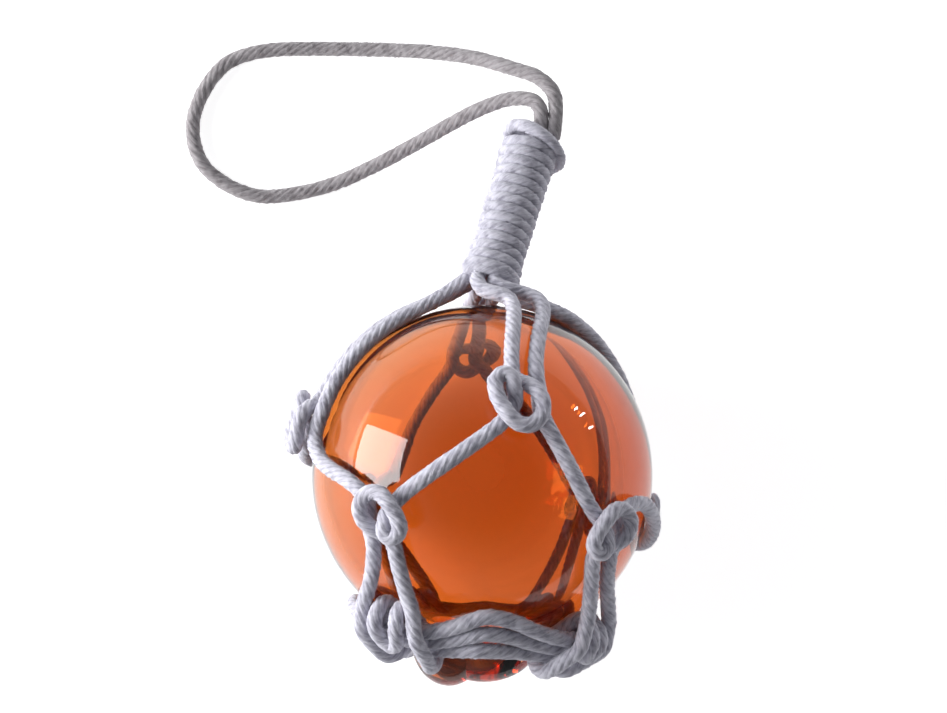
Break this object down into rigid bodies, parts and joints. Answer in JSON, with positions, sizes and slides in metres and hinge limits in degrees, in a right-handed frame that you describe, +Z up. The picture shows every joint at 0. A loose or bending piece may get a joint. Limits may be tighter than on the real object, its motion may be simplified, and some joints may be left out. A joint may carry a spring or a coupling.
{
  "type": "glass float ball",
  "caption": "Hollow glass float ball in a knotted cotton cord net with a whipped neck and a hanging loop, lying on its side.",
  "frame": {"origin": "centre of the flat resting spot under the ball, on the surface it lies on", "axes": "+Y from the ball towards the neck of the net and its loop, +Z up from the surface, +X to the right seen from above"},
  "size_m": [0.1119, 0.1496, 0.0797],
  "materials": {
    "amber_glass": "clear orange-amber blown glass",
    "cotton_cord": "matte white three-ply cotton, slightly fuzzy"
  },
  "bodies": {
    "root": {"glass_ball": "amber_glass", "base_ring": "cotton_cord", "net_cord_1": "cotton_cord", "net_cord_2": "cotton_cord", "net_cord_3": "cotton_cord", "net_cord_4": "cotton_cord", "neck_whipping": "cotton_cord", "hanging_loop": "cotton_cord"}
  },
  "joints": []
}
